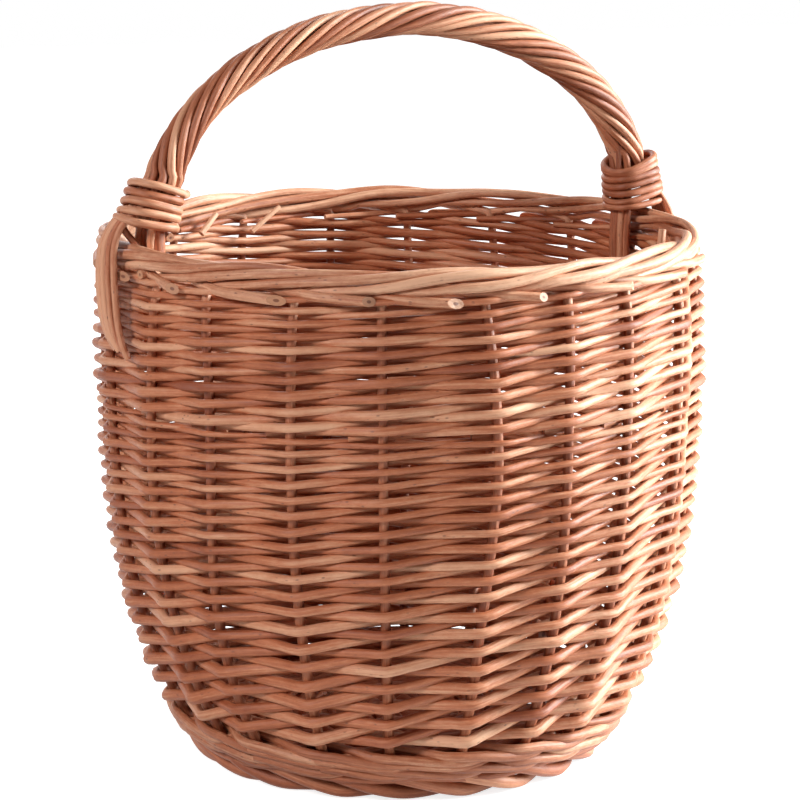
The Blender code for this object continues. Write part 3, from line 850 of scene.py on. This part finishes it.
# Strands that face outward less than this go inside the wall.  Inner strands below the
# wrap: place of the leg, its shift by side, and how its ring draws in below the first point
INNER_OUT = 0.05
INNER_X = 0.1612
INNER_SHIFT = 0.0018
INNER_DRAW = 0.0012
INNER_BACK = 0.0060
INNER_RING = ((0.0052, 0.0072), (0.0050, 0.0070))
INNER_ZS = (0.3220, 0.30)
INNER_ENDS = (0.232, 0.262)
INNER_THIN = 0.92
# Outer strands: height, distance, spread, shift towards the side, and how ragged they end
OUTER_ROWS = (
    (0.3365, 0.1700, 0.84, -0.0010, 0),
    (0.3290, 0.1778, 0.66, -0.0030, 0),
    (0.3210, 0.1826, 0.70, -0.0060, 0),
    (0.3120, 0.1851, 0.88, -0.0080, 0),
    (0.2980, 0.1858, 1.02, -0.0090, 0),
    (0.2840, 0.1860, 1.06, -0.0075, 0),
    (0.2720, 0.1860, 1.02, -0.0045, 0),
    (0.2620, 0.1852, 0.90, 0.0, 0.5),
    (0.2540, 0.1826, 0.76, 0.0045, 1),
)
OUTER_WIDTH = 0.0049
OUTER_DEPTH = 0.0004
RAGGED = 0.003
OUTER_THIN = (0.80, 0.92)
OUTER_THIN_Z = 0.335
ARCH_SAMPLES = 401

TWIST_ANGLE = math.asin((TWIST_Z - ARCH_Z) / (APEX_Z - ARCH_Z))


def arch(share):
    """Place and outward direction on the twisted part of the handle."""
    angle = lerp(math.pi - TWIST_ANGLE, TWIST_ANGLE, share)
    rise = APEX_Z - ARCH_Z
    place = np.array((SPAN * math.cos(angle) + HANDLE_SHIFT, 0, ARCH_Z + rise * math.sin(angle)))
    outward = np.array((rise * math.cos(angle), 0, SPAN * math.sin(angle)))
    return place, outward / np.linalg.norm(outward)


ARCH_SHARES = np.linspace(0, 1, ARCH_SAMPLES)
ARCH_PLACES = np.array([arch(share)[0] for share in ARCH_SHARES])
ARCH_STEPS = np.linalg.norm(np.diff(ARCH_PLACES, axis=0), axis=1)
ARCH_RUN = np.concatenate([[0], np.cumsum(ARCH_STEPS)])
ARCH_LENGTH = ARCH_RUN[-1]


def add_bow():
    line = [(LEFT_LEG_X, 0, z, LEG_ROD) for z in LEG_ZS]
    line += [(*arch(share)[0], BOW_ROD) for share in np.linspace(0, 1, BOW_POINTS)]
    line += [(RIGHT_LEG_X, 0, z, LEG_ROD) for z in LEG_ZS[::-1]]
    piece = Piece("handle_bow_look")
    piece.rod(through(line, 3))
    piece.make(HANDLE, "bow_willow", "handle_bow")


def inner_foot(out, across, side, size):
    low = RNG.uniform(*INNER_ENDS)
    leg = INNER_X - INNER_SHIFT * side
    back = 0.0 if side > 0 else INNER_BACK
    (first_out, first_across), (ring_out, ring_across) = INNER_RING
    first = ((leg + first_out * out) * side, -first_across * across + back * 0.5)
    below = ((leg - INNER_DRAW + ring_out * out) * side, -ring_across * across + back)
    return [
        (*first, INNER_ZS[0], size),
        (*below, INNER_ZS[1], size),
        (*below, low, size * INNER_THIN),
    ]


def outer_foot(across, side, size):
    row = math.asin(limit(across, -1, 1)) / math.radians(STRAND_STEP)
    ragged = RNG.uniform(-RAGGED, RAGGED)
    line = []
    for z, radius, spread, shift, ragged_share in OUTER_ROWS:
        x = (radius - OUTER_DEPTH * row * row) * side
        y = -row * OUTER_WIDTH * spread + side * shift
        thin = 1.0 if z > OUTER_THIN_Z else lerp(*OUTER_THIN, spread)
        line.append((x, y, z + ragged * ragged_share, size * thin))
    return line


def foot_points(turn, side, size):
    """A strand below its last twist, listed from the arch down: outer ones cross the border."""
    out, across = math.cos(turn), math.sin(turn)
    if out < INNER_OUT:
        return inner_foot(out, across, side, size)
    return outer_foot(across, side, size)


def add_strands():
    twist = 2 * math.pi * (ARCH_LENGTH / STRAND_PITCH)
    for index in range(STRANDS):
        first = math.radians(STRAND_STEP * index + STRAND_TURN)
        size = STRAND_ROD * RNG.uniform(*STRAND_SPREAD)
        turn_phase, ring_phase, pace = any_phase(), any_phase(), RNG.uniform(*WANDER_PACES)
        line = foot_points(first, -1, size)[::-1]
        for step in range(1, STRAND_STEPS):
            share = step / STRAND_STEPS
            place, outward = arch(float(np.interp(ARCH_LENGTH * share, ARCH_RUN, ARCH_SHARES)))
            calm = math.sin(math.pi * share)
            turn = first - twist * share
            turn += TURN_WANDER * calm * math.sin(pace * share + turn_phase)
            swell = curve(share, STRAND_SWELL)
            wander = RING_WANDER * calm * math.sin(pace * RING_PACE * share + ring_phase)
            ring = outward * math.cos(turn) + np.array((0, -1, 0)) * math.sin(turn)
            place = place + ring * (STRAND_RING * swell * (1 + wander))
            line.append((*place, size * lerp(1, swell, ROD_SWELL)))
        line += foot_points(math.remainder(first - twist, 2 * math.pi), 1, size)
        line = through(line, 3)
        pale = PALER * (line[:, 0] < PALE_X) * (line[:, 2] < PALE_Z)
        piece = Piece(f"handle_strand_{index + 1:02d}_look")
        piece.rod(line, tone_of(*STRAND_TONES) + pale)
        piece.make(HANDLE, "strand_willow", f"handle_strand_{index + 1:02d}")


# Wraps: number of turns, (middle x, half length, half width, z) of the top and the
# bottom one, radius of the rod and tilt of the turns
LEFT_TOP, LEFT_BOTTOM = (0.1552, 0.0128, 0.0132, 0.3464), (0.1640, 0.0163, 0.0130, 0.3218)
LEFT_WRAP = (5, LEFT_TOP, LEFT_BOTTOM, 0.00245, 0.0052)
RIGHT_TOP, RIGHT_BOTTOM = (0.1622, 0.0138, 0.0138, 0.3490), (0.1668, 0.0172, 0.0134, 0.3186)
RIGHT_WRAP = (7, RIGHT_TOP, RIGHT_BOTTOM, 0.00215, 0.0045)
WRAP_STEPS = 16
WRAP_FROM = 0.12
WRAP_SWAY = (0.0004, 0.0010)
WRAP_SWAY_PACE = 1.5
WRAP_SQUARE = 0.10
WRAP_LUMPS = 0.08
WRAP_LUMP_PACE = 0.31
LEFT_TONE = 0.78
LEFT_DRIFT = 0.14
# The right wrap's low tone is painted shade: it faces away from the key lamp
SHADED_RIGHT_TONE = 0.36
RIGHT_DRIFT = 0.16
CROSSING_TONE = 0.35
# The top turn on the right dips at the front: points it takes in, its middle, width and depth
DIP_POINTS = 20
DIP_MIDDLE = 8
DIP_WIDTH = 14
DIP_DEPTH = 0.0034
FREE_END = [(-0.1402, -0.0070, 0.3416, 0.0023), (-0.1432, -0.0092, 0.3414, 0.0024)]
CROSSING = [
    (-0.1770, 0.0050, 0.3275, 0.0020),
    (-0.1740, 0.0030, 0.3210, 0.0020),
    (-0.1690, 0.0, 0.3135, 0.0020),
    (-0.1650, -0.0010, 0.3060, 0.0020),
]
# Short ends inside each wrap: first place, or height of the top, and step to the next
STUBS = 3
LEFT_STUB_X = (-0.1492, 0.0016)
RIGHT_STUB_X = (0.1512, 0.0030)
STUB_Y = (-0.0060, 0.0045)
STUB_TOP = (0.3555, -0.0020)
STUB_ZS = (0.330, 0.340, 0.348)
STUB_ROD = 0.0018
STUB_TONE = 0.15


def wrap_line(side, turns, top, bottom, radius, tilt):
    line = []
    sway = [(any_phase(), RNG.uniform(*WRAP_SWAY)) for _ in range(turns + 1)]
    for step in range(int((turns - WRAP_FROM) * WRAP_STEPS) + 1):
        share = step / (turns * WRAP_STEPS)
        middle, length, width, z = (lerp(a, b, share) for a, b in zip(top, bottom))
        angle = side * 2 * math.pi * (step / WRAP_STEPS + WRAP_FROM)
        phase, size = sway[step // WRAP_STEPS]
        x, y = math.cos(angle), math.sin(angle)
        square = 1 + WRAP_SQUARE * (2 * x * y) ** 2
        height = z + tilt * x * side + size * math.sin(angle * WRAP_SWAY_PACE + phase)
        thickness = radius * (1 + WRAP_LUMPS * math.sin(step * WRAP_LUMP_PACE + phase))
        line.append((side * middle + length * x * square, width * y * square, height, thickness))
    return line


def add_wraps():
    left, right = Piece("handle_wrap_left_look"), Piece("handle_wrap_right_look")
    line = FREE_END + wrap_line(-1, *LEFT_WRAP)
    left.rod(through(line, 3), LEFT_TONE, 12, drift=LEFT_DRIFT)
    line = wrap_line(1, *RIGHT_WRAP)
    for step, (x, y, z, size) in enumerate(line[:DIP_POINTS]):
        dip = max(0, math.cos((step - DIP_MIDDLE) * math.pi / DIP_WIDTH)) ** 2
        line[step] = (x, y, z - DIP_DEPTH * dip, size)
    right.rod(through(line, 3), SHADED_RIGHT_TONE, 12, drift=RIGHT_DRIFT)
    left.rod(through(CROSSING, 3), CROSSING_TONE)
    for piece, stub_x in ((left, LEFT_STUB_X), (right, RIGHT_STUB_X)):
        for k in range(STUBS):
            x, y, top = (start + step * k for start, step in (stub_x, STUB_Y, STUB_TOP))
            stub = [(x, y, z, STUB_ROD) for z in (*STUB_ZS, top)]
            piece.rod(through(stub, 2), STUB_TONE)
    left.make(HANDLE, "wrap_willow", "handle_wrap_left")
    right.make(HANDLE, "wrap_willow", "handle_wrap_right")


add_weavers()
add_stakes()
add_upsett()
add_foot()
add_base()
add_bow()
add_strands()
add_wraps()

# Stage: floor and world are white to the camera, in reflections and through glass, and
# light the object at a plain level
FLOOR_SIZE = 14
FLOOR_COLOUR = (0.60, 0.60, 0.60, 1)
FLOOR_ROUGHNESS = 0.9
GLOW_DISTANCES = (0.3, 1.2)
GLOW_STRENGTHS = (0.80, 1.0)
WHITE = (1, 1, 1, 1)
WORLD_STRENGTH = 0.06
WHITE_STRENGTH = 1.0
LAMP_AIM = (0, 0, 0.2)


def seen_or_not(tree, seen, unseen, output):
    """One shader for camera, glossy and transmission rays, another for all other rays."""
    path = node(tree, "ShaderNodeLightPath")
    share = path.outputs["Is Camera Ray"]
    for kind in ("Is Glossy Ray", "Is Transmission Ray"):
        either = node(tree, "ShaderNodeMath", operation="MAXIMUM")
        tree.links.new(share, either.inputs[0])
        tree.links.new(path.outputs[kind], either.inputs[1])
        share = either.outputs[0]
    choose = node(tree, "ShaderNodeMixShader")
    for socket, source in zip(choose.inputs, (share, unseen, seen)):
        tree.links.new(source, socket)
    tree.links.new(choose.outputs[0], tree.nodes[output].inputs["Surface"])


def add_floor():
    bpy.ops.mesh.primitive_plane_add(size=FLOOR_SIZE, location=(0, 0, 0))
    floor = bpy.context.object
    floor.name = "floor"
    material = bpy.data.materials.new("floor_white")
    material.use_nodes = True
    tree = material.node_tree
    shader = tree.nodes["Principled BSDF"]
    shader.inputs["Base Color"].default_value = FLOOR_COLOUR
    shader.inputs["Roughness"].default_value = FLOOR_ROUGHNESS
    place = node(tree, "ShaderNodeTexCoord")
    away = node(tree, "ShaderNodeVectorMath", operation="LENGTH")
    tree.links.new(place.outputs["Object"], away.inputs[0])
    glow = node(tree, "ShaderNodeEmission")
    strength = map_range(tree, away.outputs["Value"], GLOW_DISTANCES, GLOW_STRENGTHS)
    tree.links.new(strength, glow.inputs["Strength"])
    lit = node(tree, "ShaderNodeAddShader")
    tree.links.new(shader.outputs[0], lit.inputs[0])
    tree.links.new(glow.outputs[0], lit.inputs[1])
    seen_or_not(tree, lit.outputs[0], shader.outputs[0], "Material Output")
    floor.data.materials.append(material)


def add_world():
    world = bpy.data.worlds.new("studio")
    bpy.context.scene.world = world
    world.use_nodes = True
    tree = world.node_tree
    plain = tree.nodes["Background"]
    plain.inputs["Color"].default_value = WHITE
    plain.inputs["Strength"].default_value = WORLD_STRENGTH
    white = node(tree, "ShaderNodeBackground")
    white.inputs["Color"].default_value = WHITE
    white.inputs["Strength"].default_value = WHITE_STRENGTH
    seen_or_not(tree, white.outputs[0], plain.outputs[0], "World Output")


def add_lamp(name, place, width, height, power, colour):
    lamp = bpy.data.lights.new(name, "AREA")
    lamp.shape = "RECTANGLE"
    lamp.size = width
    lamp.size_y = height
    lamp.energy = power
    lamp.color = colour
    made = bpy.data.objects.new(name, lamp)
    made.location = place
    made.rotation_mode = "QUATERNION"
    made.rotation_quaternion = (Vector(LAMP_AIM) - Vector(place)).to_track_quat("-Z", "Y")
    bpy.context.scene.collection.objects.link(made)


def add_camera():
    data = bpy.data.cameras.new("camera")
    data.sensor_width = 36
    data.lens = FOCAL_PIXELS / PICTURE * data.sensor_width
    data.shift_x = SHIFT_PIXELS / PICTURE
    data.clip_start = 0.05
    data.clip_end = 50
    camera = bpy.data.objects.new("camera", data)
    camera.location = from_camera(0, CAMERA_DISTANCE, CAMERA_Z)
    aim = Vector(from_camera(0, 0, CAMERA_Z - CAMERA_DISTANCE * math.tan(CAMERA_PITCH)))
    camera.rotation_mode = "QUATERNION"
    camera.rotation_quaternion = (aim - camera.location).to_track_quat("-Z", "Y")
    bpy.context.scene.collection.objects.link(camera)
    bpy.context.scene.camera = camera


add_floor()
add_world()
add_lamp("key", from_camera(2.1, -0.24, 0.90), 0.34, 1.5, 198, (0.79, 0.955, 1.0))
add_lamp("fill", from_camera(-1.5, 1.6, 1.5), 0.5, 0.5, 37, (1, 1, 1))
add_lamp("back", from_camera(-0.6, -2.2, 1.2), 0.9, 0.9, 12, (1, 1, 1))
add_camera()
bpy.context.scene.view_settings.view_transform = "Standard"
